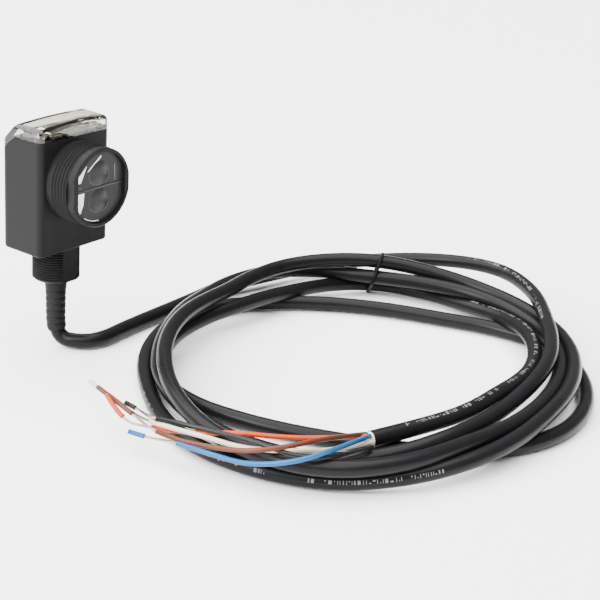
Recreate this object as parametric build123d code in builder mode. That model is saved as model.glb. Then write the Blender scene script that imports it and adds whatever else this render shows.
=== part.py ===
from build123d import *
import math
import os

os.makedirs("parts", exist_ok=True)

# Frame: origin on the base stub's axis at the underside of the body,
# +Z up through the indicator cover, -Y out of the nose, millimetres.

# Body
body_w = 35.0
front_y = -10.0
back_y = 10.6
seam_z = 43.5
front_round = 2.3
rear_round = 3.0
underside_round = 1.0
cavity_w = 30.0
cavity_y = (-7.5, 7.5)
floor_t = 2.0
ceiling_z = 37.0
throat_y = 0.4
throat_z = 39.5
ledge_z = 41.0
rim_w = 32.0
rim_y = (-8.5, 1.4)

# Sloping rear shoulder under the cover
shoulder_y = 3.0
shoulder_fall = 0.78
shoulder_bend = 0.8
shoulder_end = (back_y + 2, seam_z - shoulder_fall * (back_y + 2 - shoulder_y))

# Clear cover, its crown given at the left, the highest place and the right,
# then the crown's height over the two ends of the hollow inside
cover_round = 2.0
cover_wall = 1.8
cover_crown = ((-18, 47.9), (1.0, 49.1), (18, 48.3))
crown_ends = (48.2, 48.4)
hollow_x = 15.9
hollow_back = 8.4
cover_fall = 1.09
cover_ridge = (4.1, 46.9)
skirt_z = (42.1, 45.0)
skirt_t = 0.9
post_r = 2.8
post_x = 12.9
post_y = -5.6
post_z = 44.3

# Nose, M30 x 1.5
nose_z = 27.0
nose_r = 15.0
nose_root_r = 14.4
nose_pitch = 1.5
nose_turns = 5
nose_form = (0.5, 0.8, 1.3)
nose_foot = -8.5
collar_end = 12.6
thread_end = collar_end + nose_pitch * nose_turns
nose_end = 23.5
rim_r = 14.8
rim_flat = 14.0
bore_r = 12.0
bore_flat = 9.3
bore_start = 7.0
bore_end = 19.1
window_r = 13.4
window_flat = 12.0
fit_gap = 0.1

# Base stub, M18 x 1
stub_r = 9.0
stub_root_r = 8.4
stub_pitch = 1.0
stub_turns = 12
stub_form = (0.35, 0.55, 0.9)
stub_neck = 0.6
stub_len = 13.7
stub_flat = 7.7
cord_bore_r = 5.0

# Optics
lens_gap = 5.25
lens_plate_y = (19.5, 21.8)
lens_split = 0.45
lens_dome_r = 4.7
lens_top = 22.7
divider_t = 0.8
divider_front = 22.1
seal_window_r = 4.95
funnel_r = (4.9, 2.6)
device_r = 2.4
device_top = 10.0
optics_board_y = (-7.4, -6.4)

# Boards
board_y = 5.6
board_t = 1.2
board_z = (3.5, 36.8)
rib_z = (3.0, 36.5)
indicator_board_z = (39.6, 40.6)
led_pitch = 7.0
led_y = -3.0
led_r = 1.5
led_dome_z = 43.0

# Relay: w along X, v out from the board, u up
relay_x = -8.5
relay_z = 12.0

# Cord
cord_d = 5.9
cord_r = cord_d / 2
floor_z = -42.0
cord_low = floor_z + cord_r + 0.05
relief_end = -34.4
relief_top = -13.7
relief_ribs_top = -18.3
relief_ribs = 6
relief_pitch = (relief_ribs_top - relief_end) / relief_ribs
relief_taper = 0.07
relief_mouth = 0.25
relief_foot = -6.2
relief_neck_r = 4.35
relief_rib_r = 3.95
relief_rib_rise = 0.38
splice_z = -30.0
wire_r = 0.85
strand_r = 0.5
inner_r = 0.8
inner_pitch = 1.5
inner_z = 3.8

# Coil of cord lying on the bench: outline of the whole bundle
coil_centre = (71.0, -97.0)
coil_outer = (106.0, 90.0)
coil_crown = (93.0, 77.0)
coil_hole_centre = (64.0, -98.0)
coil_hole = (56.0, 48.0)
coil_flare = 5.0
coil_height = 19.0
tie_angle = 32.0
tie_t = 0.5
tie_w = 2.4


def block(x, y, z, mode=Mode.ADD):
    """A box given by its low and high edge on each axis."""
    middle = ((x[0] + x[1]) / 2, (y[0] + y[1]) / 2, (z[0] + z[1]) / 2)
    with Locations(middle):
        Box(x[1] - x[0], y[1] - y[0], z[1] - z[0], mode=mode)


def relay_block(w, v, u, mode=Mode.ADD):
    """A box in the relay's own directions."""
    x = (relay_x + w[0], relay_x + w[1])
    y = (board_y - v[1], board_y - v[0])
    z = (relay_z + u[0], relay_z + u[1])
    block(x, y, z, mode)


def relay_rod(r, v, u, mode=Mode.ADD):
    """A round rod standing up the relay, v out from the board."""
    rod_z((relay_x, board_y - v), r, (relay_z + u[0], relay_z + u[1]), mode)


def rod_y(centre, r, y, mode=Mode.ADD):
    """A round rod along Y between two depths, centre given in X and Z."""
    with BuildSketch(Plane.XZ.offset(-y[1])) as disc:
        with Locations(centre):
            Circle(r)
    extrude(disc.sketch, amount=y[1] - y[0], mode=mode)


def rod_z(centre, r, z, mode=Mode.ADD):
    """A round rod along Z between two heights."""
    with BuildSketch(Plane.XY.offset(z[0])) as disc:
        with Locations(centre):
            Circle(r)
    extrude(disc.sketch, amount=z[1] - z[0], mode=mode)


def spin_y(profile, axis_z, mode=Mode.ADD):
    """Turn a closed (y, z) profile about a line along Y at one height."""
    with BuildSketch(Plane.YZ) as half:
        with BuildLine():
            Polyline(*profile, close=True)
        make_face()
    revolve(half.sketch, axis=Axis((0, 0, axis_z), (0, 1, 0)), mode=mode)


def spin_z(profile, mode=Mode.ADD):
    """Turn a closed (x, z) profile about the Z axis."""
    with BuildSketch(Plane.XZ) as half:
        with BuildLine():
            Polyline(*profile, close=True)
        make_face()
    revolve(half.sketch, axis=Axis.Z, mode=mode)


def flat_disc(near, far, r, flat, mode=Mode.ADD):
    """A disc on the nose's axis with flats at its left and right, between two depths."""
    with BuildSketch(Plane.XZ.offset(near)) as disc:
        with Locations((0, nose_z)):
            Circle(r)
            Rectangle(2 * flat, 2 * r, mode=Mode.INTERSECT)
    extrude(disc.sketch, amount=far - near, mode=mode)


def body_prism(z):
    """The body's rounded rectangle between two heights."""
    with BuildSketch(Plane.XY.offset(z[0])) as outline:
        with Locations((0, (front_y + back_y) / 2)):
            Rectangle(body_w, back_y - front_y)
        fillet(outline.vertices().group_by(Axis.Y)[0], front_round)
        fillet(outline.vertices().group_by(Axis.Y)[-1], rear_round)
    extrude(outline.sketch, amount=z[1] - z[0])


def cut_at_seam(far_z):
    """Cut away all between the seam and one height, the seam falling down the shoulder."""
    run = math.hypot(1, shoulder_fall)
    bend_start = (shoulder_y - shoulder_bend, seam_z)
    bend_end = (shoulder_y + shoulder_bend / run, seam_z - shoulder_bend * shoulder_fall / run)
    with BuildSketch(Plane.YZ) as waste:
        with BuildLine():
            Line((front_y - 1, seam_z), bend_start)
            TangentArc(bend_start, bend_end, tangent=(1, 0))
            Line(bend_end, shoulder_end)
            Line(shoulder_end, (shoulder_end[0], far_z))
            Line((shoulder_end[0], far_z), (front_y - 1, far_z))
            Line((front_y - 1, far_z), (front_y - 1, seam_z))
        make_face()
    extrude(waste.sketch, amount=body_w, both=True, mode=Mode.SUBTRACT)


def cut_slope(inset):
    """Cut away all above the cover's rear slope, moved in by a wall's thickness."""
    drop = inset * math.hypot(1, cover_fall)
    slope_y = (0.0, back_y + 2)
    slope_z = [cover_ridge[1] - drop - cover_fall * (y - cover_ridge[0]) for y in slope_y]
    with BuildSketch(Plane.YZ) as waste:
        with BuildLine():
            Polyline(
                (slope_y[0], slope_z[0]),
                (slope_y[1], slope_z[1]),
                (slope_y[1], slope_z[0]),
                close=True,
            )
        make_face()
    extrude(waste.sketch, amount=body_w, both=True, mode=Mode.SUBTRACT)


def corner_radii(points, share=0.45):
    """A bend radius for each inner corner of a route."""
    radii = []
    for a, b, c in zip(points, points[1:], points[2:]):
        into = Vector(*b) - Vector(*a)
        out = Vector(*c) - Vector(*b)
        half = math.radians(into.get_angle(out)) / 2
        shorter = min(into.length, out.length)
        radii.append(round(share * shorter / math.tan(half), 2))
    return radii


def tube(points, radii, r):
    """A round tube along straight runs joined by tangent arcs."""
    with BuildLine() as route:
        FilletPolyline(*points, radius=radii)
    path = route.wires()[0]
    start = Plane(origin=path @ 0, z_dir=path % 0)
    with BuildSketch(start) as disc:
        Circle(r)
    sweep(disc.sketch, path=path)
    return path.length


# Housing: box, threaded nose and threaded base stub in one moulding
with BuildPart() as housing:
    body_prism((0, seam_z))
    fillet(housing.faces().sort_by(Axis.Z)[0].edges(), underside_round)
    cut_at_seam(seam_z + 1)
    nose_profile = [(nose_foot, nose_z), (nose_foot, nose_z + nose_r), (-collar_end, nose_z + nose_r)]
    for turn in range(nose_turns):
        start_y = collar_end + turn * nose_pitch
        nose_profile.append((-start_y - nose_form[0], nose_z + nose_root_r))
        nose_profile.append((-start_y - nose_form[1], nose_z + nose_root_r))
        nose_profile.append((-start_y - nose_form[2], nose_z + nose_r))
        nose_profile.append((-start_y - nose_pitch, nose_z + nose_r))
    nose_profile.append((-thread_end, nose_z + rim_r))
    nose_profile.append((-nose_end + 0.5, nose_z + rim_r))
    nose_profile.append((-nose_end, nose_z + rim_r - 0.5))
    nose_profile.append((-nose_end, nose_z))
    spin_y(nose_profile, nose_z)
    for side in (-1, 1):
        flat = sorted((side * rim_flat, side * (nose_r + 2)))
        block(flat, (-nose_end - 1, -thread_end), (10, 44), Mode.SUBTRACT)
    stub_profile = [(0, 0.5), (stub_r, 0.5), (stub_r, -stub_neck)]
    for turn in range(stub_turns):
        start_z = -stub_neck - turn * stub_pitch
        stub_profile.append((stub_root_r, start_z - stub_form[0]))
        stub_profile.append((stub_root_r, start_z - stub_form[1]))
        stub_profile.append((stub_r, start_z - stub_form[2]))
        stub_profile.append((stub_r, start_z - stub_pitch))
    stub_profile.append((stub_r, -stub_len + 0.7))
    stub_profile.append((stub_r - 0.7, -stub_len))
    stub_profile.append((0, -stub_len))
    spin_z(stub_profile)
    block((-10, 10), (-10, -stub_flat), (-stub_len - 1, 0), Mode.SUBTRACT)
    half_w = cavity_w / 2
    with BuildSketch(Plane.YZ):
        with BuildLine():
            Polyline(
                (cavity_y[0], floor_t),
                (cavity_y[1], floor_t),
                (cavity_y[1], ceiling_z),
                (throat_y, throat_z),
                (throat_y, seam_z + 1),
                (cavity_y[0], seam_z + 1),
                close=True,
            )
        make_face()
    extrude(amount=half_w, both=True, mode=Mode.SUBTRACT)
    block((-rim_w / 2, rim_w / 2), rim_y, (ledge_z, seam_z + 1), Mode.SUBTRACT)
    flat_disc(bore_start, bore_end, bore_r, bore_flat, Mode.SUBTRACT)
    flat_disc(bore_end, nose_end + 1, window_r, window_flat, Mode.SUBTRACT)
    rod_z((0, 0), cord_bore_r, (-stub_len - 1, floor_t + 1), Mode.SUBTRACT)
    for side in (-1, 1):
        rib = sorted((side * 14.2, side * (half_w + 0.5)))
        block(rib, (board_y - 1.0, board_y - fit_gap), rib_z)
        block(rib, (board_y + board_t + fit_gap, cavity_y[1] + 0.2), rib_z)
        block(rib, (cavity_y[0] - 0.2, -6.3), rib_z)
housing.part.label = "housing"
export_step(housing.part, "parts/housing.step")

# Hollow of the cover, one wall's thickness inside it
with BuildPart() as cover_hollow:
    with BuildSketch(Plane.XZ.offset(-hollow_back)):
        with BuildLine():
            inner_left = (-hollow_x, crown_ends[0] - cover_wall)
            inner_top = (cover_crown[1][0], cover_crown[1][1] - cover_wall)
            inner_right = (hollow_x, crown_ends[1] - cover_wall)
            ThreePointArc(inner_left, inner_top, inner_right)
            Line(inner_right, (hollow_x, seam_z))
            Line((hollow_x, seam_z), (-hollow_x, seam_z))
            Line((-hollow_x, seam_z), inner_left)
        make_face()
    extrude(amount=hollow_back - front_y - cover_wall)
    cut_slope(cover_wall)

# Clear crowned cover over the indicators, sloping down the rear shoulder
with BuildPart() as indicator_cover:
    body_prism((shoulder_end[1], cover_crown[1][1] + 1))
    with BuildSketch(Plane.XZ.offset(-20)):
        with BuildLine():
            ThreePointArc(*cover_crown)
            Line(cover_crown[2], (18, 30))
            Line((18, 30), (-18, 30))
            Line((-18, 30), cover_crown[0])
        make_face()
    extrude(amount=40, mode=Mode.INTERSECT)
    fillet(indicator_cover.faces().sort_by(Axis.Z)[-1].edges(), cover_round)
    cut_slope(0)
    cut_at_seam(shoulder_end[1] - 1)
    add(cover_hollow.part, mode=Mode.SUBTRACT)
    skirt_y = (rim_y[0] + 0.1, rim_y[1] - 0.1)
    inner_y = (skirt_y[0] + skirt_t, skirt_y[1] - skirt_t)
    skirt_x = rim_w / 2 - 0.1
    block((-skirt_x, skirt_x), skirt_y, skirt_z)
    block((skirt_t - skirt_x, skirt_x - skirt_t), inner_y, (skirt_z[0] - 1, skirt_z[1] + 0.5), Mode.SUBTRACT)
    for side in (-1, 1):
        rod_z((side * post_x, post_y), post_r, (skirt_z[0], post_z))
        with Locations((side * post_x, post_y, post_z)):
            Sphere(post_r)
indicator_cover.part.label = "indicator_cover"
export_step(indicator_cover.part, "parts/indicator_cover.step")

# Seal under the cover's skirt
with BuildPart() as cover_gasket:
    block((-skirt_x, skirt_x), skirt_y, (ledge_z + 0.05, skirt_z[0] - 0.05))
    block((skirt_t - skirt_x, skirt_x - skirt_t), inner_y, (ledge_z - 1, skirt_z[0] + 1), Mode.SUBTRACT)
cover_gasket.part.label = "cover_gasket"
export_step(cover_gasket.part, "parts/cover_gasket.step")

# Two moulded lenses, receiver above emitter, split by a light baffle
for lens_name, side in (("receiver_lens", 1), ("emitter_lens", -1)):
    with BuildPart() as lens:
        flat_disc(lens_plate_y[0], lens_plate_y[1], window_r - fit_gap, window_flat - fit_gap)
        half = sorted((nose_z + side * lens_split, nose_z + side * (window_r + 1)))
        block((-window_r, window_r), (-lens_plate_y[1], -lens_plate_y[0]), half, Mode.INTERSECT)
        axis_z = nose_z + side * lens_gap
        dome = lens_top - lens_plate_y[1]
        curve_r = (lens_dome_r**2 + dome**2) / (2 * dome)
        with BuildSketch(Plane.YZ):
            with BuildLine():
                foot_y = -lens_plate_y[1] + 0.3
                rim_top = axis_z + lens_dome_r
                Line((foot_y, axis_z), (foot_y, rim_top))
                Line((foot_y, rim_top), (-lens_plate_y[1], rim_top))
                RadiusArc((-lens_plate_y[1], rim_top), (-lens_top, axis_z), -curve_r)
                Line((-lens_top, axis_z), (foot_y, axis_z))
            make_face()
        revolve(axis=Axis((0, 0, axis_z), (0, 1, 0)))
    lens.part.label = lens_name
    export_step(lens.part, f"parts/{lens_name}.step")

# Opaque baffle between the lenses
with BuildPart() as lens_divider:
    divider_x = window_flat - 2 * fit_gap
    divider_z = (nose_z - divider_t / 2, nose_z + divider_t / 2)
    block((-divider_x, divider_x), (-divider_front, -lens_plate_y[0]), divider_z)
lens_divider.part.label = "lens_divider"
export_step(lens_divider.part, "parts/lens_divider.step")

# Seal behind the lenses, one opening for each
with BuildPart() as lens_seal:
    flat_disc(bore_end, lens_plate_y[0], window_r - fit_gap, window_flat - fit_gap)
    for side in (-1, 1):
        axis_z = nose_z + side * lens_gap
        rod_y((0, axis_z), seal_window_r, (-lens_plate_y[0] - 1, -bore_end + 1), Mode.SUBTRACT)
lens_seal.part.label = "lens_seal"
export_step(lens_seal.part, "parts/lens_seal.step")

# Optics holder with two funnels, wide at the lenses
with BuildPart() as optics_holder:
    flat_disc(-optics_board_y[0] + fit_gap, bore_end - fit_gap, bore_r - fit_gap, bore_flat - fit_gap)
    for side in (-1, 1):
        axis_z = nose_z + side * lens_gap
        funnel = [
            (-bore_end - 0.5, axis_z),
            (-bore_end - 0.5, axis_z + funnel_r[0]),
            (-bore_start, axis_z + funnel_r[1]),
            (-bore_start, axis_z),
        ]
        spin_y(funnel, axis_z, Mode.SUBTRACT)
optics_holder.part.label = "optics_holder"
export_step(optics_holder.part, "parts/optics_holder.step")

# Emitter and receiver devices on the optics board
for device_name, side in (("receiver_photodiode", 1), ("emitter_led", -1)):
    with BuildPart() as device:
        axis_z = nose_z + side * lens_gap
        rod_y((0, axis_z), device_r, (-device_top, optics_board_y[0] - 0.05))
        with Locations((0, -device_top, axis_z)):
            Sphere(device_r)
    device.part.label = device_name
    export_step(device.part, f"parts/{device_name}.step")

with BuildPart() as optics_board:
    block((-10.5, 10.5), optics_board_y, (nose_z - 10.5, nose_z + 10.5))
optics_board.part.label = "optics_board"
export_step(optics_board.part, "parts/optics_board.step")

# Main board standing at the back of the body
with BuildPart() as main_board:
    block((-14.8, 14.8), (board_y, board_y + board_t), board_z)
main_board.part.label = "main_board"
export_step(main_board.part, "parts/main_board.step")

# Pin header joining the optics board to the main board
with BuildPart() as board_header:
    header_x = (3.0, 9.0)
    header_z = (34.2, 36.4)
    pin_z = (header_z[0] + header_z[1]) / 2
    block(header_x, (optics_board_y[1] + 0.05, -4.6), header_z)
    block(header_x, (3.9, board_y - 0.05), header_z)
    for pin_x in (4.0, 6.0, 8.0):
        rod_y((pin_x, pin_z), 0.32, (-5.0, 4.3))
board_header.part.label = "board_header"
export_step(board_header.part, "parts/board_header.step")

# Indicator board lying across the top of the body
with BuildPart() as indicator_board:
    block((-14.5, 14.5), (-7.2, 0.2), indicator_board_z)
indicator_board.part.label = "indicator_board"
export_step(indicator_board.part, "parts/indicator_board.step")

for led_name, led_x in (("power_led", -led_pitch), ("output_led", 0.0), ("signal_led", led_pitch)):
    with BuildPart() as lamp:
        rod_z((led_x, led_y), led_r, (indicator_board_z[1] + 0.05, led_dome_z))
        with Locations((led_x, led_y, led_dome_z)):
            Sphere(led_r)
    lamp.part.label = led_name
    export_step(lamp.part, f"parts/{led_name}.step")

# Output relay
with BuildPart() as relay_base:
    relay_block((-4.8, 4.8), (0.05, 1.2), (0.2, 19.8))
relay_base.part.label = "relay_base"
export_step(relay_base.part, "parts/relay_base.step")

with BuildPart() as relay_yoke:
    relay_block((-3.2, 3.2), (1.4, 2.4), (3.0, 15.0))
    relay_block((-3.2, 3.2), (1.4, 7.4), (3.0, 4.0))
relay_yoke.part.label = "relay_yoke"
export_step(relay_yoke.part, "parts/relay_yoke.step")

with BuildPart() as relay_core:
    relay_rod(1.2, 5.9, (4.0, 14.6))
    relay_rod(2.2, 5.9, (14.0, 14.6))
relay_core.part.label = "relay_core"
export_step(relay_core.part, "parts/relay_core.step")

with BuildPart() as relay_coil:
    relay_rod(3.1, 5.9, (4.3, 13.7))
    relay_rod(1.3, 5.9, (4.0, 14.0), Mode.SUBTRACT)
relay_coil.part.label = "relay_coil"
export_step(relay_coil.part, "parts/relay_coil.step")

with BuildPart() as relay_armature:
    relay_block((-3.0, 3.0), (1.3, 8.2), (15.1, 15.9))
relay_armature.part.label = "relay_armature"
export_step(relay_armature.part, "parts/relay_armature.step")

with BuildPart() as relay_blade:
    relay_block((-1.2, 1.2), (3.0, 9.4), (15.9, 16.1))
    relay_rod(0.5, 8.8, (15.5, 16.35))
relay_blade.part.label = "relay_blade"
export_step(relay_blade.part, "parts/relay_blade.step")

with BuildPart() as relay_contact_open:
    relay_block((-4.6, 1.2), (8.3, 9.5), (14.75, 14.95))
    relay_block((-4.6, -4.0), (1.25, 9.5), (13.5, 14.95))
relay_contact_open.part.label = "relay_contact_open"
export_step(relay_contact_open.part, "parts/relay_contact_open.step")

with BuildPart() as relay_contact_closed:
    relay_block((-1.2, 4.6), (8.3, 9.5), (16.5, 16.7))
    relay_block((4.0, 4.6), (1.25, 9.5), (15.5, 16.7))
relay_contact_closed.part.label = "relay_contact_closed"
export_step(relay_contact_closed.part, "parts/relay_contact_closed.step")

with BuildPart() as relay_case:
    relay_block((-5.4, 5.4), (0.05, 10.6), (-0.4, 20.4))
    relay_block((-4.9, 4.9), (-1.0, 10.1), (0.1, 19.9), Mode.SUBTRACT)
relay_case.part.label = "relay_case"
export_step(relay_case.part, "parts/relay_case.step")

# Other parts on the main board
with BuildPart() as supply_capacitor:
    rod_y((8.5, 10.0), 4.0, (-4.4, board_y - 0.05))
supply_capacitor.part.label = "supply_capacitor"
export_step(supply_capacitor.part, "parts/supply_capacitor.step")

with BuildPart() as film_capacitor:
    block((4.0, 13.0), (0.6, board_y - 0.05), (16.0, 26.0))
film_capacitor.part.label = "film_capacitor"
export_step(film_capacitor.part, "parts/film_capacitor.step")

with BuildPart() as varistor:
    rod_y((8.5, 30.5), 3.4, (2.4, board_y - 0.05))
varistor.part.label = "varistor"
export_step(varistor.part, "parts/varistor.step")

with BuildPart() as rectifier:
    block((-13.0, -4.5), (3.2, board_y - 0.05), (5.6, 9.8))
rectifier.part.label = "rectifier"
export_step(rectifier.part, "parts/rectifier.step")

with BuildPart() as controller_chip:
    block((-11.0, -5.0), (4.6, board_y - 0.05), (33.0, 36.4))
controller_chip.part.label = "controller_chip"
export_step(controller_chip.part, "parts/controller_chip.step")

# Five conductors fanned side by side from the cord to the main board
with BuildPart() as inner_leads:
    for lead in range(5):
        lead_x = (lead - 2) * inner_pitch
        rod_z((lead_x, 0), inner_r, (1.1, inner_z))
        with Locations((lead_x, 0, inner_z)):
            Sphere(inner_r)
        rod_y((lead_x, inner_z), inner_r, (0.0, board_y - 0.05))
inner_leads.part.label = "inner_leads"
export_step(inner_leads.part, "parts/inner_leads.step")

# Cord entry: strain relief, seal and crimped ferrule in the stub's bore
with BuildPart() as strain_relief:
    with BuildSketch(Plane.XZ):
        with BuildLine():
            Line((cord_r + relief_mouth, relief_end), (cord_r, relief_end + 2))
            plug_r = cord_bore_r - fit_gap
            Line((cord_r, relief_end + 2), (cord_r, relief_foot))
            Line((cord_r, relief_foot), (plug_r, relief_foot))
            Line((plug_r, relief_foot), (plug_r, relief_top))
            Line((plug_r, relief_top), (relief_neck_r, relief_top))
            ThreePointArc((relief_neck_r, relief_top), (4.45, -15.8), (relief_rib_r, relief_ribs_top))
            for rib in range(relief_ribs):
                rib_top = relief_ribs_top - rib * relief_pitch
                valley_r = relief_rib_r - rib * relief_taper
                rib_mid = (valley_r - relief_taper / 2 + relief_rib_rise, rib_top - relief_pitch / 2)
                rib_end = (valley_r - relief_taper, rib_top - relief_pitch)
                ThreePointArc((valley_r, rib_top), rib_mid, rib_end)
            Line(rib_end, (cord_r + relief_mouth, relief_end))
        make_face()
    revolve(axis=Axis.Z)
strain_relief.part.label = "strain_relief"
export_step(strain_relief.part, "parts/strain_relief.step")

with BuildPart() as cable_seal:
    rod_z((0, 0), cord_bore_r - 0.05, (-6.1, -3.1))
    rod_z((0, 0), cord_r, (-7.0, -2.0), Mode.SUBTRACT)
cable_seal.part.label = "cable_seal"
export_step(cable_seal.part, "parts/cable_seal.step")

with BuildPart() as cable_ferrule:
    rod_z((0, 0), 3.6, (-2.8, 0.2))
    rod_z((0, 0), cord_r, (-4.0, 1.0), Mode.SUBTRACT)
cable_ferrule.part.label = "cable_ferrule"
export_step(cable_ferrule.part, "parts/cable_ferrule.step")

with BuildPart() as cable_tail:
    rod_z((0, 0), cord_r, (splice_z, 1.0))
cable_tail.part.label = "cable_tail"
export_step(cable_tail.part, "parts/cable_tail.step")

# The coil as one solid of the bundle's outer shape
with BuildPart() as cable_coil:
    with BuildSketch(Plane.XY.offset(floor_z)):
        with Locations(coil_centre):
            Ellipse(*coil_outer)
    extrude(amount=coil_flare)
    with BuildSketch(Plane.XY.offset(floor_z + coil_flare)):
        with Locations(coil_centre):
            Ellipse(*coil_outer)
    with BuildSketch(Plane.XY.offset(floor_z + coil_height)):
        with Locations(coil_centre):
            Ellipse(*coil_crown)
    loft()
    with BuildSketch(Plane.XY.offset(floor_z - 1)):
        with Locations(coil_hole_centre):
            Ellipse(*coil_hole)
    extrude(amount=coil_height + 2, mode=Mode.SUBTRACT)
cable_coil.part.label = "cable_coil"
export_step(cable_coil.part, "parts/cable_coil.step")

# Twist tie pulled round the bundle
tie_dir = Vector(math.cos(math.radians(tie_angle)), math.sin(math.radians(tie_angle)))
tie_plane = Plane(
    origin=(coil_centre[0], coil_centre[1], 0),
    x_dir=tie_dir,
    z_dir=tie_dir.cross(Vector(0, 0, 1)),
)


def reach(centre, half_axes):
    """How far an ellipse reaches along the tie's direction from the coil's centre."""
    dx = coil_centre[0] - centre[0]
    dy = coil_centre[1] - centre[1]
    a = (tie_dir.X / half_axes[0]) ** 2 + (tie_dir.Y / half_axes[1]) ** 2
    b = tie_dir.X * dx / half_axes[0] ** 2 + tie_dir.Y * dy / half_axes[1] ** 2
    c = (dx / half_axes[0]) ** 2 + (dy / half_axes[1]) ** 2 - 1
    return (math.sqrt(b * b - a * c) - b) / a


tie_in = reach(coil_hole_centre, coil_hole) - tie_t
tie_out = reach(coil_centre, coil_outer) + tie_t
tie_crown = reach(coil_centre, coil_crown) + tie_t
with BuildPart() as coil_tie:
    with BuildSketch(tie_plane):
        with BuildLine():
            Polyline(
                (tie_in, floor_z - tie_t),
                (tie_out, floor_z - tie_t),
                (tie_out, floor_z + coil_flare),
                (tie_crown, floor_z + coil_height + tie_t),
                (tie_in, floor_z + coil_height + tie_t),
                close=True,
            )
        make_face()
    extrude(amount=tie_w / 2, both=True)
    add(cable_coil.part, mode=Mode.SUBTRACT)
coil_tie.part.label = "coil_tie"
export_step(coil_tie.part, "parts/coil_tie.step")

# Cord from the strain relief down to the bench and into the coil
lead_route = [
    (0.0, 0.0, splice_z),
    (0.0, 0.0, cord_low),
    (4.0, -10.4, cord_low),
    (12.0, -13.6, cord_low),
    (24.0, -12.4, cord_low),
    (36.0, -11.8, cord_low),
]
lead_radii = [cord_d, *corner_radii(lead_route)[1:]]
with BuildPart() as cable_lead:
    lead_length = tube(lead_route, lead_radii, cord_r)
    lead_volume = cable_lead.part.volume / (math.pi * cord_r**2 * lead_length)
    add(cable_coil.part, mode=Mode.SUBTRACT)
cable_lead.part.label = "cable_lead"
export_step(cable_lead.part, "parts/cable_lead.step")
print("cable_lead radii", lead_radii, "length", round(lead_length, 1), "volume", round(lead_volume, 3))

# Five stripped conductors leaving the far end of the cord, out over the coil
wire_routes = {
    "wire_brown": [
        (5.0, -142.5, -31.6),
        (-14.7, -141.4, -26.1),
        (-30.4, -137.8, -24.7),
        (-38.9, -127.3, -27.5),
        (-39.0, -109.8, -31.9),
        (-39.4, -97.5, -33.8),
        (-43.2, -91.4, -31.3),
    ],
    "wire_blue": [
        (6.0, -144.2, -31.8),
        (-18.4, -148.4, -25.8),
        (-34.7, -143.6, -26.7),
        (-39.0, -127.9, -32.0),
        (-40.6, -113.5, -32.9),
        (-41.5, -99.4, -33.6),
    ],
    "wire_white": [
        (4.7, -145.7, -33.2),
        (-11.2, -142.1, -32.0),
        (-28.5, -135.8, -28.0),
        (-34.7, -122.1, -29.8),
        (-35.5, -106.4, -30.9),
        (-39.3, -93.7, -30.5),
        (-41.1, -86.9, -30.1),
    ],
    "wire_black": [
        (1.3, -147.6, -33.3),
        (-18.5, -150.4, -28.2),
        (-30.4, -142.0, -27.8),
        (-33.9, -124.9, -26.2),
        (-34.2, -108.3, -28.6),
        (-35.4, -95.0, -29.9),
        (-40.7, -88.9, -28.4),
    ],
    "wire_orange": [
        (3.6, -143.6, -31.4),
        (-9.0, -137.2, -30.0),
        (-21.0, -126.4, -29.2),
        (-30.4, -114.5, -28.2),
        (-35.4, -101.0, -31.8),
        (-40.6, -87.2, -32.4),
    ],
}
for wire_name, wire_route in wire_routes.items():
    wire_radii = corner_radii(wire_route)
    with BuildPart() as wire:
        wire_length = tube(wire_route, wire_radii, wire_r)
        wire_volume = wire.part.volume / (math.pi * wire_r**2 * wire_length)
        add(cable_coil.part, mode=Mode.SUBTRACT)
    wire.part.label = wire_name
    export_step(wire.part, f"parts/{wire_name}.step")
    print(wire_name, "radii", wire_radii, round(wire_length, 1), round(wire_volume, 3))

# Tinned strands with the cut slug of insulation still on them
wire_tips = {
    "tip_brown": [(-43.2, -91.4, -31.3), (-39.7, -78.5, -31.2), (-41.0, -62.4, -25.6)],
    "tip_blue": [(-41.5, -99.4, -33.6), (-42.0, -86.0, -36.0), (-44.8, -80.6, -34.6)],
    "tip_white": [(-41.1, -86.9, -30.1), (-31.8, -68.3, -35.3), (-33.7, -51.4, -29.5)],
    "tip_black": [(-40.7, -88.9, -28.4), (-34.2, -75.4, -32.0), (-37.2, -71.6, -29.6)],
    "tip_orange": [(-40.6, -87.2, -32.4), (-43.8, -76.6, -32.4), (-42.6, -68.2, -25.9)],
}
for tip_name, (root, cut, end) in wire_tips.items():
    with BuildPart() as tip:
        with BuildSketch(Plane(origin=root, z_dir=Vector(*cut) - Vector(*root))):
            Circle(strand_r)
        extrude(amount=(Vector(*cut) - Vector(*root)).length)
        with Locations(cut):
            Sphere(wire_r)
        with BuildSketch(Plane(origin=cut, z_dir=Vector(*end) - Vector(*cut))):
            Circle(wire_r)
        extrude(amount=(Vector(*end) - Vector(*cut)).length)
        add(cable_coil.part, mode=Mode.SUBTRACT)
    tip.part.label = tip_name
    export_step(tip.part, f"parts/{tip_name}.step")
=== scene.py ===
import bpy
import math
import random
import numpy as np
from mathutils import Matrix, Vector


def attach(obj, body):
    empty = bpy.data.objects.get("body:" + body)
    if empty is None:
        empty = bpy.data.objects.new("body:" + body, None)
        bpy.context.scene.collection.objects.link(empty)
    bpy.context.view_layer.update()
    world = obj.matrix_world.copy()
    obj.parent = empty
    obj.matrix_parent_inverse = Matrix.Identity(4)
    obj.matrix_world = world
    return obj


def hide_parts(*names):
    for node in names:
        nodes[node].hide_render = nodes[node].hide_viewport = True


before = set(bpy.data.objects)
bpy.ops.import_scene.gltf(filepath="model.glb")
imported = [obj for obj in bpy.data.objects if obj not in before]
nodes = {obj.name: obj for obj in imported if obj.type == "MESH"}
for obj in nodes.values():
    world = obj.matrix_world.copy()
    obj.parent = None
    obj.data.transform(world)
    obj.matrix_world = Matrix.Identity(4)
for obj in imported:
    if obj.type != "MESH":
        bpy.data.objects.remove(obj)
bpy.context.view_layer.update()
MM = 0.001

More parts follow.
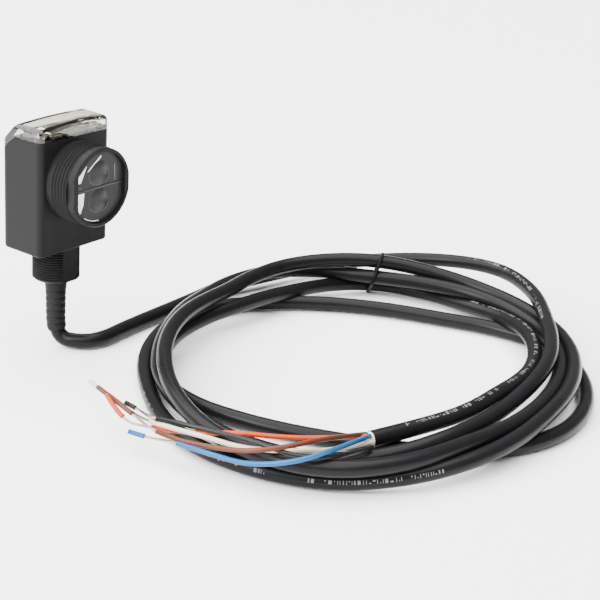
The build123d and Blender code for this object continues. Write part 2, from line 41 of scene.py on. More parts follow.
# The sensor stands above the bench on its cord, which lies in a loose tied coil and ends
# in five stripped conductors. Sizes and places are in millimetres until mm() turns them
# into metres, but the cord lengths here are in metres.
FLOOR = -42.0
CORD_R = 2.95
WIRE_R = 0.85


def mm(p):
    """A point in metres."""
    return Vector((p[0] * MM, p[1] * MM, p[2] * MM))


def new_object(name, data):
    """An object in the scene, made from a mesh, curve, lamp or camera."""
    thing = bpy.data.objects.new(name, data)
    bpy.context.scene.collection.objects.link(thing)
    return thing


# ---------------------------------------------------------------- camera
# It looks along the azimuth, tipped down and rolled a little.
CAMERA_AT = (-375.64, -387.01, 194.11)
FOCAL_LENGTH = 90
SENSOR_WIDTH = 36
azimuth = math.radians(54.1)
drop = math.radians(21.63)
roll = math.radians(3.97)
look = Vector((
    math.cos(drop) * math.sin(azimuth),
    math.cos(drop) * math.cos(azimuth),
    -math.sin(drop),
))
level_right = Vector((math.cos(azimuth), -math.sin(azimuth), 0))
level_up = level_right.cross(look)
right = math.cos(roll) * level_right + math.sin(roll) * level_up
up = -math.sin(roll) * level_right + math.cos(roll) * level_up
camera_data = bpy.data.cameras.new("camera")
camera_data.lens = FOCAL_LENGTH
camera_data.sensor_width = SENSOR_WIDTH
camera = new_object("camera", camera_data)
facing = Matrix((right, up, -look)).transposed()
camera.matrix_world = Matrix.Translation(mm(CAMERA_AT)) @ facing.to_4x4()
bpy.context.scene.camera = camera


# ---------------------------------------------------------------- materials
# Depth of the fine and the slow bumps, how far the gloss strays either side, and the
# refractive index of clear plastic.
GRAIN_DEPTH = 0.08
SWELL_DEPTH = 0.5
ROUGH_SPREAD = 0.2
PLASTIC_IOR = 1.49


def material(name, colour, rough, metal=0.0, grain=0.0, grain_mm=0.3, spot=0.15, spot_mm=6.0,
             spec=0.5, glass=0.0, swell=0.0, swell_mm=4.0):
    """A shader whose colour, gloss and surface vary: spots, fine grain and a slow swell.

    Sizes ending in _mm are the sizes of the spots, grain and swell. Their strengths run
    from 0 to 1.
    """
    m = bpy.data.materials.new(name)
    m.use_nodes = True
    tree = m.node_tree
    shader = tree.nodes["Principled BSDF"]
    shader.inputs["Metallic"].default_value = metal
    shader.inputs["IOR"].default_value = PLASTIC_IOR
    shader.inputs["Specular IOR Level"].default_value = spec
    shader.inputs["Transmission Weight"].default_value = glass
    place = tree.nodes.new("ShaderNodeTexCoord")

    def noise(size_mm, detail):
        cloud = tree.nodes.new("ShaderNodeTexNoise")
        cloud.inputs["Scale"].default_value = 1000 / size_mm
        cloud.inputs["Detail"].default_value = detail
        tree.links.new(place.outputs["Object"], cloud.inputs["Vector"])
        return cloud.outputs["Fac"]

    spots = noise(spot_mm, 4)
    mix = tree.nodes.new("ShaderNodeMixRGB")
    mix.inputs[1].default_value = (*[c * (1 - spot) for c in colour], 1)
    mix.inputs[2].default_value = (*[min(1, c * (1 + spot)) for c in colour], 1)
    tree.links.new(spots, mix.inputs[0])
    tree.links.new(mix.outputs[0], shader.inputs["Base Color"])
    gloss = tree.nodes.new("ShaderNodeMapRange")
    gloss.inputs["To Min"].default_value = max(0.0, rough * (1 - ROUGH_SPREAD))
    gloss.inputs["To Max"].default_value = min(1.0, rough * (1 + ROUGH_SPREAD))
    tree.links.new(spots, gloss.inputs["Value"])
    tree.links.new(gloss.outputs[0], shader.inputs["Roughness"])
    normal = None
    bumps = ((grain, grain_mm, GRAIN_DEPTH), (swell, swell_mm, SWELL_DEPTH))
    for strength, size_mm, depth_mm in bumps:
        if strength:
            bump = tree.nodes.new("ShaderNodeBump")
            bump.inputs["Strength"].default_value = strength
            bump.inputs["Distance"].default_value = depth_mm * MM
            tree.links.new(noise(size_mm, 2), bump.inputs["Height"])
            if normal:
                tree.links.new(normal, bump.inputs["Normal"])
            normal = bump.outputs["Normal"]
    if normal:
        tree.links.new(normal, shader.inputs["Normal"])
    return m


FINISH = {
    "housing": material("housing_black", (0.0085, 0.0085, 0.0089), 0.46, grain=0.55, spec=0.07),
    "clear": material("clear_cover", (0.84, 0.82, 0.72), 0.03, spec=0.12, glass=1.0, spot=0.02,
                      swell=0.12, swell_mm=7),
    "lens": material("lens_dark", (0.022, 0.022, 0.0225), 0.3, spot=0.1, spec=0.12),
    # Painted highlight: a pale colour for light caught on the lens plate's bevels, a streak and its
    # lower rim.
    "facet": material("lens_painted_highlight", (0.95, 0.95, 0.94), 0.2, spot=0.04, spot_mm=2),
    # Painted sheen: a grey a little paler than the lens, for the lit edges round the lenses, a corner
    # and a side of the plate, and the divider's crest.
    "edge": material("lens_edge_painted_light", (0.05, 0.05, 0.05), 0.12, spot=0.1, spot_mm=2),
    "rubber": material("black_rubber", (0.009, 0.009, 0.0094), 0.55, grain=0.35, spec=0.08),
    "jacket": material("cord_jacket", (0.0055, 0.0055, 0.006), 0.3, grain=0.2, grain_mm=0.5, spec=0.1,
                       swell=0.25, swell_mm=9),
    "tie": material("tie_black", (0.003, 0.003, 0.003), 0.5, spec=0.08),
    "board": material("board_potting", (0.022, 0.019, 0.014), 0.28, grain=0.9, grain_mm=0.8,
                      spot=0.6, spot_mm=3),
    "green": material("board_green", (0.03, 0.16, 0.07), 0.35),
    "white": material("white_plastic", (0.85, 0.84, 0.80), 0.4),
    "steel": material("plated_steel", (0.6, 0.6, 0.6), 0.3, metal=1.0),
    "copper": material("copper_winding", (0.55, 0.25, 0.10), 0.35, metal=0.6, grain=0.8, grain_mm=0.2),
    "brass": material("contact_brass", (0.75, 0.58, 0.27), 0.3, metal=1.0),
    "tin": material("tinned_copper", (0.30, 0.26, 0.20), 0.3, metal=1.0, spot=0.3, spot_mm=1),
    "black": material("black_plastic", (0.014, 0.014, 0.014), 0.4, grain=0.3, spec=0.3),
    "lamp": material("lamp_smoked", (0.09, 0.085, 0.075), 0.15, spot=0.05),
    "red": material("film_red", (0.45, 0.07, 0.05), 0.3),
    "blue_disc": material("varistor_blue", (0.06, 0.15, 0.42), 0.35),
    "filler": material("cord_filler", (0.62, 0.58, 0.48), 0.8, grain=1.0, grain_mm=0.25),
    "brown": material("wire_brown", (0.085, 0.022, 0.010), 0.34, spec=0.2, swell=0.3, swell_mm=1.5),
    "blue": material("wire_blue", (0.004, 0.075, 0.20), 0.34, spec=0.2, swell=0.3, swell_mm=1.5),
    "white_wire": material("wire_white", (0.52, 0.47, 0.37), 0.36, swell=0.3, swell_mm=1.5),
    "black_wire": material("wire_black", (0.006, 0.006, 0.006), 0.34, spec=0.2, swell=0.3, swell_mm=1.5),
    "orange": material("wire_orange", (0.40, 0.035, 0.002), 0.34, spec=0.2, swell=0.3, swell_mm=1.5),
    "print": material("jacket_print", (0.10, 0.10, 0.095), 0.6, spot=0.4, spot_mm=0.8),
}
WIRE_FINISH = {
    "brown": "brown",
    "blue": "blue",
    "white": "white_wire",
    "black": "black_wire",
    "orange": "orange",
}
node_finish = {
    "housing": ["housing"],
    "clear": ["indicator_cover"],
    "rubber": ["cover_gasket", "lens_seal", "cable_seal", "strain_relief"],
    "lens": ["receiver_lens", "emitter_lens"],
    "black": ["lens_divider", "rectifier", "controller_chip", "relay_case", "coil_tie",
              "receiver_photodiode", "board_header", "optics_holder"],
    "white": ["relay_base"],
    "lamp": ["emitter_led", "power_led", "output_led", "signal_led"],
    "board": ["indicator_board"],
    "green": ["optics_board", "main_board"],
    "steel": ["relay_yoke", "relay_core", "relay_armature", "cable_ferrule", "supply_capacitor"],
    "copper": ["relay_coil"],
    "brass": ["relay_blade", "relay_contact_open", "relay_contact_closed"],
    "red": ["film_capacitor"],
    "blue_disc": ["varistor"],
    "brown": ["inner_leads"],
    "jacket": ["cable_tail", "cable_lead", "cable_coil"],
}
for colour, finish in WIRE_FINISH.items():
    node_finish.setdefault(finish, []).extend([f"wire_{colour}", f"tip_{colour}"])
for finish, names in node_finish.items():
    for node in names:
        mesh = nodes[node].data
        mesh.materials.clear()
        mesh.materials.append(FINISH[finish])


# ---------------------------------------------------------------- making pieces
def place_piece(name, data, finish):
    """Put a mesh or curve in the scene as a piece that rides the sensor."""
    data.materials.append(FINISH[finish])
    piece = new_object(name, data)
    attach(piece, "sensor")
    return piece


def add_piece(name, points, faces, finish, smooth=True):
    """A mesh piece from points in millimetres."""
    mesh = bpy.data.meshes.new(name)
    mesh.from_pydata([tuple(mm(p)) for p in points], [], faces)
    mesh.validate()
    mesh.update()
    for face in mesh.polygons:
        face.use_smooth = smooth
    return place_piece(name, mesh, finish)


def spline(name, points, radius, finish, segments=6):
    """A round cord along one open spline."""
    curve = bpy.data.curves.new(name, "CURVE")
    curve.dimensions = "3D"
    line = curve.splines.new("NURBS")
    line.points.add(len(points) - 1)
    for control, p in zip(line.points, points):
        control.co = (*mm(p), 1)
    line.order_u = 3
    line.use_endpoint_u = True
    line.resolution_u = segments
    curve.bevel_depth = radius * MM
    curve.bevel_resolution = 8
    curve.use_fill_caps = True
    return place_piece(name, curve, finish)


def centreline(cord):
    """The points of a cord's own spline, read from it with no bevel."""
    bare = cord.copy()
    bare.data = cord.data.copy()
    bare.data.bevel_depth = 0
    mesh = bpy.data.meshes.new_from_object(bare)
    points = np.array([tuple(v.co) for v in mesh.vertices]) / MM
    bpy.data.objects.remove(bare)
    return points


def smooth_line(points, segments):
    """The points of a spline through a short given route."""
    guide = spline("guide", points, 0, "tin", segments)
    line = centreline(guide)
    bpy.data.objects.remove(guide)
    return line


def unit(v):
    """A vector's direction, with a length of one."""
    return v / np.linalg.norm(v)


def along(points):
    """Distance from the start at each point of a line."""
    return np.concatenate([[0], np.cumsum(np.linalg.norm(np.diff(points, axis=0), axis=1))])


def resample(points, distances):
    """Points at the given distances along a line."""
    s = along(points)
    return np.stack([np.interp(distances, s, points[:, k]) for k in range(3)], axis=1)


def cross_axes(points):
    """Two directions square to a line at each point, carried along without twist."""
    tangent = np.gradient(points, axis=0)
    tangent /= np.linalg.norm(tangent, axis=1)[:, None]
    upright = abs(tangent[0][2]) >= 0.9
    side = np.cross(tangent[0], (1.0, 0.2, 0.0) if upright else (0.3, 0.2, 1.0))
    sides = []
    for t in tangent:
        side = unit(side - t * np.dot(side, t))
        sides.append(side)
    sides = np.array(sides)
    return sides, np.cross(tangent, sides)


def tube(points, radii, around):
    """Vertices and faces of a closed round tube with a radius for each point."""
    a, b = cross_axes(points)
    angles = np.arange(around) * 2 * math.pi / around
    ring = [p + r * (math.cos(t) * u + math.sin(t) * v)
            for p, r, u, v in zip(points, radii, a, b) for t in angles]
    faces = []
    for i in range(len(points) - 1):
        here = i * around
        there = here + around
        for k in range(around):
            n = (k + 1) % around
            faces.append((here + k, here + n, there + n, there + k))
    last = (len(points) - 1) * around
    faces.append(tuple(reversed(range(around))))
    faces.append(tuple(range(last, last + around)))
    return ring, faces


def join(parts):
    """One list of vertices and faces from several."""
    points = []
    faces = []
    for more_points, more_faces in parts:
        start = len(points)
        points.extend(more_points)
        faces.extend(tuple(i + start for i in f) for f in more_faces)
    return points, faces


# ---------------------------------------------------------------- cord
# The lead leaves the relief, bends flat and runs out to the coil.
lead_route = [
    (0, 0, -30),
    (0, 0, -39),
    (4, -10.4, -39),
    (12, -13.6, -39),
    (24, -12.4, -39),
    (36, -11.8, -39),
]
# How far the cord lies from the coil's centre at each hour of a clock face, going
# round from eleven o'clock as seen from above, and how high above the bench. Both
# were found by fitting the strands, then rounded to half a millimetre. Each row is one
# turn, and no strand lies lower than LOWEST.
COIL_CENTRE = (64, -98)
FIRST_ANGLE = 120
HOUR = 30
LOWEST = 3.0
reach = [
    63, 87, 94.5, 111, 107, 82.5, 72, 67, 74.5, 82.5, 83, 80,
    73, 78, 89, 76.5, 83, 82.5, 76.5, 75.5, 84.5, 102, 92, 78.5,
    68.5, 65.5, 76.5, 80, 89, 88, 82, 81.5, 90, 97, 95.5, 84,
    80.5, 77, 65, 60, 64, 82.5, 87.5, 86.5, 75.5, 66, 69.5, 77,
    72.5, 60.5, 66.5, 89, 80, 74, 66, 61, 66, 62,
]
height = [
    3, 3, 4, 6.5, 14.5, 14, 13, 9.5, 8.5, 3, 3.5, 8,
    11.5, 8.5, 8.5, 10.5, 9.5, 8, 8.5, 8.5, 10.5, 10, 9.5, 14.5,
    16, 14.5, 15.5, 17, 10.5, 8.5, 9, 9.5, 7, 3, 3, 3,
    3, 3, 3, 3, 3, 3, 3, 3, 3, 3, 3.5, 3,
    6, 9, 7.5, 3, 4.5, 9.5, 9.5, 11, 10, 3,
]
# Points laid for each hour, and the cut end, which stands up off the strands below it.
# The first and the last hour only steer the curve.
STEPS = 2
cord_end = (5.5, -144.4, FLOOR + 9)


def between(values, place):
    """A smooth value part way between the listed ones."""
    i = int(place)
    f = place - i
    a, b, c, d = (values[min(max(k, 0), len(values) - 1)] for k in (i - 1, i, i + 1, i + 2))
    return b + 0.5 * f * (c - a + f * (2 * a - 5 * b + 4 * c - d + f * (3 * (b - c) + d - a)))


coil_route = []
for step in range(STEPS, (len(reach) - 2) * STEPS + 1):
    place = step / STEPS
    angle = math.radians(FIRST_ANGLE - HOUR * place)
    r = between(reach, place)
    x = COIL_CENTRE[0] + r * math.cos(angle)
    y = COIL_CENTRE[1] + r * math.sin(angle)
    coil_route.append((x, y, FLOOR + max(LOWEST, between(height, place))))
main_cord = spline("cord_main", lead_route + coil_route + [cord_end], CORD_R, "jacket")
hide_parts("cable_lead", "cable_coil")
cord_line = centreline(main_cord)


# ---------------------------------------------------------------- strain relief
# A collar under the stub, then segments of one pitch. The relief bends with the cord, so
# its axis is straight down to the cord's start and then follows the cord's first points.
RELIEF_TOP = -13.0
RELIEF_COLLAR = 5.6
RELIEF_PITCH = 2.75
RELIEF_SEGMENTS = 6
RELIEF_END = RELIEF_COLLAR + RELIEF_PITCH * RELIEF_SEGMENTS
COLLAR_R = 4.35
COLLAR_TAPER = 0.35
GROOVE_R = 3.55
GROOVE_TAPER = 0.05
RIB_RISE = 0.42
END_LIP = 0.05
RELIEF_STEP = 0.11
RELIEF_SIDES = 48
LEAD_POINTS = 60


def relief_radius(s):
    """Outer radius of the relief: a collar, then rounded segments parted by grooves."""
    if s < RELIEF_COLLAR:
        return COLLAR_R - COLLAR_TAPER * (s / RELIEF_COLLAR) ** 2
    place = (s - RELIEF_COLLAR) / RELIEF_PITCH
    part = place - int(place)
    crown = 1 - abs(2 * part - 1) ** 4
    return GROOVE_R - GROOVE_TAPER * place + RIB_RISE * crown


straight = [(0, 0, z) for z in np.arange(RELIEF_TOP, lead_route[0][2], -1.0)]
relief_axis = np.concatenate([straight, cord_line[:LEAD_POINTS]])
relief_s = np.arange(0, RELIEF_END, RELIEF_STEP)
relief_points = resample(relief_axis, np.append(relief_s, RELIEF_END))
relief_radii = [relief_radius(s) for s in relief_s] + [CORD_R + END_LIP]
relief = add_piece("relief_ribbed", *tube(relief_points, relief_radii, RELIEF_SIDES), "rubber")
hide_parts("strain_relief")


# ---------------------------------------------------------------- twist tie
# The tie stands at an angle about the coil's centre and leans by TIE_LEAN degrees for
# each millimetre up. It takes in the strands that lie within a band of distances out,
# as they cross at TIE_MIDDLE above the bench. Its two ends are twisted together, from
# TWIST_PLACE of the way round.
TIE_LOW_ANGLE = 32.3
TIE_LEAN = 0.19
TIE_BAND = (72.0, 90.0)
TIE_MIDDLE = 9
TIE_R = 0.75
TIE_GAP = 0.35
TIE_LOWEST = 0.4
TIE_AROUND = 96
TIE_POINTS = 150
TIE_SIDES = 10
TWIST_PLACE = 0.24
TWIST_R = 0.55
TWIST_POINTS = 30
TWIST_SIDES = 8
TWIST_OFFSET = 0.45
TWIST_TURN = 9
TWIST_REACH = 3
TWIST_RISE = 0.5


def tie_strands(angle):
    """Where the cord crosses a plane through the coil's centre: distance out and height."""
    out = Vector((math.cos(math.radians(angle)), math.sin(math.radians(angle))))
    rel = cord_line[:, :2] - np.array(COIL_CENTRE)
    side = rel @ np.array((-out.y, out.x))
    far = rel @ np.array((out.x, out.y))
    hits = []
    for i in range(len(rel) - 1):
        if side[i] * side[i + 1] < 0 and TIE_BAND[0] < far[i] < TIE_BAND[1]:
            hits.append((far[i], cord_line[i, 2]))
    return hits


def tie_loop():
    """Points round the outside of the tied strands, pulled tight."""
    ring = []
    strands = tie_strands(TIE_LOW_ANGLE - TIE_LEAN * TIE_MIDDLE)
    for step in range(TIE_AROUND):
        t = 2 * math.pi * step / TIE_AROUND
        d = np.array((math.cos(t), math.sin(t)))
        best = max(strands, key=lambda q: np.dot(q, d))
        ring.append(np.array(best) + d * (CORD_R + TIE_GAP))
    points = []
    for far, z in ring:
        angle = math.radians(TIE_LOW_ANGLE - TIE_LEAN * (z - FLOOR))
        x = COIL_CENTRE[0] + far * math.cos(angle)
        y = COIL_CENTRE[1] + far * math.sin(angle)
        points.append((x, y, max(z, FLOOR + TIE_LOWEST)))
    return np.array(points + points[:2])


loop = tie_loop()
loop = resample(loop, np.linspace(0, along(loop)[-1], TIE_POINTS))
tie_ring = tube(loop, [TIE_R] * len(loop), TIE_SIDES)
twist_at = loop[int(len(loop) * TWIST_PLACE)]
twist = []
for phase in (0, math.pi):
    strand = []
    for t in np.linspace(0, 1, TWIST_POINTS):
        angle = TWIST_TURN * t + phase
        x = TWIST_OFFSET * math.cos(angle)
        y = TWIST_OFFSET * math.sin(angle) - TWIST_REACH * t
        strand.append(twist_at + np.array((x, y, TWIST_RISE + t)))
    twist.append(tube(np.array(strand), [TWIST_R] * len(strand), TWIST_SIDES))
tie = add_piece("twist_tie", *join([tie_ring, *twist]), "tie")
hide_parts("coil_tie")


# ---------------------------------------------------------------- wires
# Each conductor from the jacket's cut end to its stripped end. A scratch script then moved
# them along the line of sight until they cleared the strands, and some were corrected by
# hand.
wire_routes = {
    "brown": [
        (5.0, -142.5, -31.6), (-14.7, -141.4, -26.1), (-30.4, -137.8, -24.7),
        (-38.9, -127.3, -27.5), (-39.0, -109.8, -31.9), (-39.4, -97.5, -33.8),
        (-43.2, -91.4, -31.3),
    ],
    "blue": [
        (6.0, -144.2, -31.8), (-18.4, -148.4, -25.8), (-34.7, -143.6, -26.7),
        (-39.0, -127.9, -32.0), (-40.6, -113.5, -32.9), (-41.5, -99.4, -33.6),
    ],
    "white": [
        (4.7, -145.7, -33.2), (-11.2, -142.1, -32.0), (-28.5, -135.8, -28.0),
        (-34.7, -122.1, -29.8), (-35.5, -106.4, -30.9), (-39.3, -93.7, -30.5),
        (-41.1, -86.9, -30.1),
    ],
    "black": [
        (1.3, -147.6, -33.3), (-18.5, -150.4, -28.2), (-30.4, -142.0, -27.8),
        (-33.9, -124.9, -26.2), (-34.2, -108.3, -28.6), (-35.4, -95.0, -29.9),
        (-40.7, -88.9, -28.4),
    ],
    "orange": [
        (3.6, -143.6, -31.4), (-9.0, -137.2, -30.0), (-21.0, -126.4, -29.2),
        (-30.4, -114.5, -28.2), (-35.4, -101.0, -31.8), (-40.6, -87.2, -32.4),
    ],
}
# Each tip: where the bare strands begin, where the cut slug begins, and its far end.
tip_routes = {
    "brown": [(-43.2, -91.4, -31.3), (-39.7, -78.5, -31.2), (-41.0, -62.4, -25.6)],
    "blue": [(-41.5, -99.4, -33.6), (-42.0, -86.0, -36.0), (-44.8, -80.6, -34.6)],
    "white": [(-41.1, -86.9, -30.1), (-31.8, -68.3, -35.3), (-33.7, -51.4, -29.5)],
    "black": [(-40.7, -88.9, -28.4), (-34.2, -75.4, -32.0), (-37.2, -71.6, -29.6)],
    "orange": [(-40.6, -87.2, -32.4), (-43.8, -76.6, -32.4), (-42.6, -68.2, -25.9)],
}
# The bare copper: strands laid round a middle one.
STRAND_R = 0.17
STRAND_OFFSET = 0.31
STRANDS_ROUND = 6
STRAND_LAY = 8.0
STRAND_STEP = 0.35
STRAND_SIDES = 6
BARE_POINTS = 40
TIP_SEGMENTS = 16
# The cut slug of insulation, and how far the strands run on inside it.
SLUG_POINTS = 24
SLUG_SIDES = 20
SLUG_END = 0.86
STRANDS_INSIDE = 0.6


def twisted_strands(line):
    """Fine bare wires laid round each other along a line."""
    s = np.arange(0, along(line)[-1], STRAND_STEP)
    points = resample(line, s)
    a, b = cross_axes(points)
    radii = [STRAND_R] * len(points)
    parts = [tube(points, radii, STRAND_SIDES)]
    for k in range(STRANDS_ROUND):
        turn = 2 * math.pi * (s / STRAND_LAY + k / STRANDS_ROUND)
        offset = STRAND_OFFSET * (np.cos(turn)[:, None] * a + np.sin(turn)[:, None] * b)
        parts.append(tube(points + offset, radii, STRAND_SIDES))
    return parts


for colour, route in wire_routes.items():
    finish = WIRE_FINISH[colour]
    spline(f"wire_{colour}_run", route, WIRE_R, finish)
    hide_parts(f"wire_{colour}")
    root, cut, end = (np.array(p) for p in tip_routes[colour])
    wire_end = unit(np.array(route[-1]) - np.array(route[-2]))
    line = smooth_line([root - wire_end, root + 2 * wire_end, cut, end], TIP_SEGMENTS)
    s = along(line)
    cut_at = float(s[np.argmin(np.linalg.norm(line - cut, axis=1))])
    bare = resample(line, np.linspace(0, cut_at + STRANDS_INSIDE, BARE_POINTS))
    slug_s = np.linspace(cut_at, s[-1], SLUG_POINTS)
    slug_radii = [WIRE_R] * SLUG_POINTS
    slug_radii[0] = WIRE_R * SLUG_END
    slug_radii[-1] = WIRE_R * SLUG_END
    strands = add_piece(f"strands_{colour}", *join(twisted_strands(bare)), "tin")
    slug_tube = tube(resample(line, slug_s), slug_radii, SLUG_SIDES)
    slug = add_piece(f"slug_{colour}", *slug_tube, finish)
    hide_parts(f"tip_{colour}")

# Pale filler showing inside the jacket's cut end: how far past it, and the radius there.
FILLER_FORM = [(-0.6, 2.62), (0.0, 2.62), (0.25, 2.55), (0.5, 2.4), (0.55, 1.9)]
FILLER_SIDES = 28
END_POINTS = 6
end_line = cord_line[-END_POINTS:]
outwards = unit(end_line[-1] - end_line[0])
filler_line = np.array([end_line[-1] + outwards * ahead for ahead, r in FILLER_FORM])
filler_radii = [r for ahead, r in FILLER_FORM]
filler = add_piece("cord_filler", *tube(filler_line, filler_radii, FILLER_SIDES), "filler")


# ---------------------------------------------------------------- jacket print
# Places along the cord are PRINT_STEP apart. Gaps, margins and the widths of strokes are
# counts of places. The height of a stroke is an angle round the cord, in radians. A
# stroke less than DASH_TALL high is a dash, which may lie off the middle of the line.
PRINT_STEP = 0.25
PRINT_R = CORD_R + 0.035
GAP_CHANCE = 0.13
GAP = 10
STROKES_WIDE = (1, 1, 2, 4)
STROKES_TALL = (0.16, 0.42, 0.46)
DASH_TALL = 0.2
DASH_LIFTS = (-0.12, 0.0, 0.12)
BETWEEN_STROKES = (2, 3)
START_MARGIN = 2
END_MARGIN = 12
STROKE_CELLS = 3


def print_marks(start, end, first_side, last_side):
    """Plain strokes of uneven size along one side of the jacket, with no lettering.

    A side is an angle from the top of the cord, positive towards the coil's centre.
    """
    marks = []
    points = resample(cord_line, np.arange(start, end, PRINT_STEP))
    i = START_MARGIN
    while i < len(points) - END_MARGIN:
        if random.random() < GAP_CHANCE:
            i += GAP
            continue
        wide = random.choice(STROKES_WIDE)
        tall = random.choice(STROKES_TALL)
        lift = random.choice(DASH_LIFTS) if tall < DASH_TALL else 0.0
        middle = first_side + (last_side - first_side) * i / len(points) + lift
        grid = []
        for k in (i, i + wide):
            t = points[k + 1] - points[k - 1]
            inward = unit(np.cross(t, (0, 0, 1.0)))
            over = unit(np.cross(inward, t))
            for step in range(STROKE_CELLS + 1):
                angle = middle + tall * (step / STROKE_CELLS - 0.5)
                out = math.cos(angle) * over + math.sin(angle) * inward
                grid.append(points[k] + PRINT_R * out)
        row = STROKE_CELLS + 1
        marks.append((grid, [(n, n + 1, n + row + 1, n + row) for n in range(STROKE_CELLS)]))
        i += wide + random.choice(BETWEEN_STROKES)
    return marks


random.seed(7)
# Where each printed stretch starts and ends along the cord, and its side at each end.
stretches = [
    (222, 300, 0.3, 0.9),
    (1450, 1500, -1.2, -1.2),
    (1508, 1550, -1.2, -1.3),
    (1562, 1590, -1.1, -1.1),
    (2262, 2424, 0.1, -0.3),
]
all_marks = [mark for stretch in stretches for mark in print_marks(*stretch)]
add_piece("jacket_marks", *join(all_marks), "print", smooth=False)


# ---------------------------------------------------------------- indicator board
# The compound's skin is a grid of this many cells. A higher edge number makes the mound
# fall away more steeply.
POTTING_ACROSS = 64
POTTING_DEEP = 26
POTTING_EDGE = 3.2
POTTING_GRAIN = 0.05
BOARD_TOP = 40.6


def box_parts(x, y, z):
    """Vertices and faces of a block."""
    corners = ((x[0], y[0]), (x[1], y[0]), (x[1], y[1]), (x[0], y[1]))
    points = [(a, b, c) for c in z for a, b in corners]
    faces = [(3, 2, 1, 0), (4, 5, 6, 7)]
    faces += [(k, (k + 1) % 4, (k + 1) % 4 + 4, k + 4) for k in range(4)]
    return points, faces


def potting(x, y, low, top):
    """A mound of brush-on compound with a lumpy skin, falling away round its edge."""
    across = POTTING_ACROSS
    deep = POTTING_DEEP
    points = []
    for j in range(deep + 1):
        for i in range(across + 1):
            u = 2 * i / across - 1
            v = 2 * j / deep - 1
            fall = min(1, POTTING_EDGE * (1 - abs(u) ** 3)) * min(1, POTTING_EDGE * (1 - abs(v) ** 3))
            lumps = 0.22 * math.sin(5 * u + 3 * v) + 0.12 * math.sin(17 * u - 6 * v)
            lumps = lumps + random.uniform(-POTTING_GRAIN, POTTING_GRAIN)
            px = x[0] + (x[1] - x[0]) * i / across
            py = y[0] + (y[1] - y[0]) * j / deep
            points.append((px, py, low + (top - low + lumps) * fall))
    faces = []
    for j in range(deep):
        for i in range(across):
            k = j * (across + 1) + i
            faces.append((k, k + 1, k + across + 2, k + across + 1))
    return points, faces


board_piece = add_piece("indicator_board_potted", *join([
    box_parts((-14.5, 14.5), (-7.2, 0.2), (39.6, BOARD_TOP)),
    potting((-9.9, 9.9), (-7.3, 0.2), BOARD_TOP, 45.2),
    potting((8.0, 14.4), (-2.4, 0.2), BOARD_TOP, 45.4),
]), "board", smooth=False)
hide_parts("indicator_board")


# ---------------------------------------------------------------- lens block
# The nose's axis, and the fronts of the lens plate and of the divider.
NOSE_Z = 27.0
PLATE_Y = -21.8
DIVIDER_Y = -22.1
FACET_RISE = 0.06
FACET_SUNK = 0.05
EDGE_RISE = 0.03
EDGE_POINTS = 73
EDGE_SIDES = 8


def facet(name, outline, finish, y=PLATE_Y):
    """A thin flat piece on the lens block, coloured as painted light where a bevel catches it; outline
    in X and height from the nose's axis.
    """
    count = len(outline)
    front = [(x, y - FACET_RISE, NOSE_Z + z) for x, z in outline]
    back = [(x, y + FACET_SUNK, NOSE_Z + z) for x, z in outline]
    faces = [tuple(range(count)), tuple(reversed(range(count, 2 * count)))]
    faces += [(k, k + count, (k + 1) % count + count, (k + 1) % count) for k in range(count)]
    return add_piece(name, front + back, faces, finish, smooth=False)


def lens_edge_painted_light(name, centre_z, half_w, half_h, finish="edge", start=0, sweep=360, thick=0.11):
    """A fine moulded edge on the plate: an ellipse about a lens, or a stretch of one, in a paler colour
    that is painted light.
    """
    line = []
    for t in np.radians(np.linspace(start, start + sweep, EDGE_POINTS)):
        z = NOSE_Z + centre_z + half_h * math.sin(t)
        line.append((half_w * math.cos(t), PLATE_Y - EDGE_RISE, z))
    return add_piece(name, *tube(np.array(line), [thick] * len(line), EDGE_SIDES), finish)
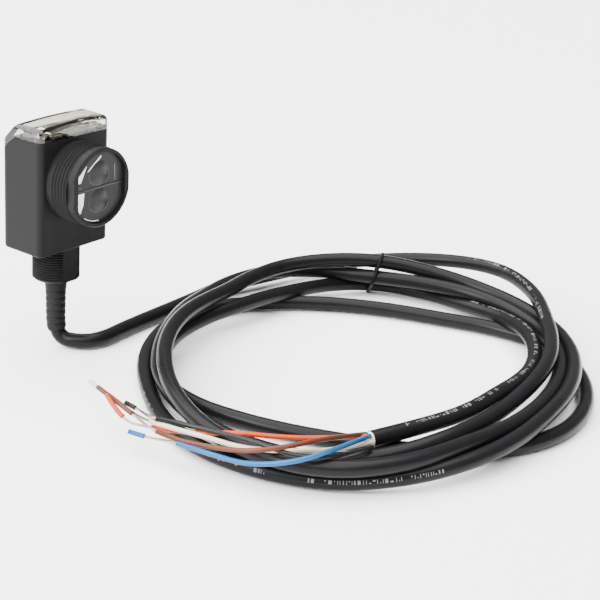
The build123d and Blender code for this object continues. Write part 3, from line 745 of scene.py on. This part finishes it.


# Painted light on the lens plate: flat pieces coloured pale as painted highlight where the bevels round
# the plate and a streak catch the light, and grey as painted sheen on a corner, a side and the divider's
# crest.
upper = [(-11.6, 5.4), (-9.5, 6.2), (-6.2, 9.2), (-8.0, 5.6), (-9.2, 3.2), (-11.6, 3.2)]
corner = [(-11.6, 2.2), (-9.2, 2.2), (-8.4, 0.5), (-11.6, 0.5)]
lower = [(-11.6, -0.8), (-7.4, -0.8), (-7.8, -5.2), (-8.9, -7.6), (-9.6, -9.0), (-10.0, -8.9)]
highlight_streak = [(-5.9, 6.9), (-5.5, 6.8), (0.7, 11.0), (1.1, 11.7), (0.6, 11.7)]
side = [(7.7, 7.4), (8.1, 7.4), (8.5, 1.2), (8.0, 1.2)]
crest = [(-9.4, -0.2), (-9.4, 0.2), (8.6, 0.15), (8.6, -0.1)]
facet("painted_highlight_upper", upper, "facet")
facet("painted_sheen_corner", corner, "edge")
facet("painted_highlight_lower", lower, "facet")
facet("painted_highlight_streak", highlight_streak, "facet")
facet("painted_sheen_side", side, "edge")
facet("divider_crest_painted_sheen", crest, "edge", DIVIDER_Y)
# Raised outlines round the two lenses, coloured as a grey painted sheen.
lens_edge_painted_light("receiver_edge_painted_sheen", centre_z=4.6, half_w=5.0, half_h=3.8)
lens_edge_painted_light("emitter_edge_painted_sheen", centre_z=-5.8, half_w=5.0, half_h=3.8)
# A pale painted highlight along a stretch of the plate's lower rim.
lens_edge_painted_light("plate_rim_painted_highlight", centre_z=0, half_w=12.9, half_h=12.6, finish="facet",
          start=236, sweep=34, thick=0.16)


# ---------------------------------------------------------------- stage
# The floor lies FLOOR_DROP millimetres below the bench height, which leaves room for the
# tie to pass under the strands. Its span and the lamps' places are in metres.
FLOOR_DROP = 0.6
SPAN = 6.0
FLOOR_Z = (FLOOR - FLOOR_DROP) * MM
floor_mesh = bpy.data.meshes.new("floor")
round_floor = ((-1, -1), (1, -1), (1, 1), (-1, 1))
corners = [(x * SPAN, y * SPAN, FLOOR_Z) for x, y in round_floor]
floor_mesh.from_pydata(corners, [], [(0, 1, 2, 3)])
floor = new_object("floor", floor_mesh)
floor_mesh.materials.append(material("floor_pale", (0.93, 0.93, 0.93), 0.85, spot=0.0, spec=0.1))


def aim(lamp, place, target):
    """Put a lamp at one point, facing another."""
    lamp.location = place
    lamp.rotation_euler = (Vector(target) - Vector(place)).to_track_quat("-Z", "Y").to_euler()


def soft_light(name, place, target, size, watts):
    """A square soft box, its size and places in metres."""
    data = bpy.data.lights.new(name, "AREA")
    data.shape = "SQUARE"
    data.size = size
    data.energy = watts
    aim(new_object(name, data), place, target)


sky = bpy.data.lights.new("overhead", "SUN")
sky.energy = 16.0
sky.angle = math.radians(100)
aim(new_object("overhead", sky), (-0.35, 0.25, 1.0), (0, 0, 0))
soft_light("key", place=(-1.0, 0.25, 0.5), target=(0.03, -0.05, 0), size=0.6, watts=22)
world = bpy.data.worlds.new("studio")
bpy.context.scene.world = world
world.use_nodes = True
world.node_tree.nodes["Background"].inputs[0].default_value = (1, 1, 1, 1)
world.node_tree.nodes["Background"].inputs[1].default_value = 0.45
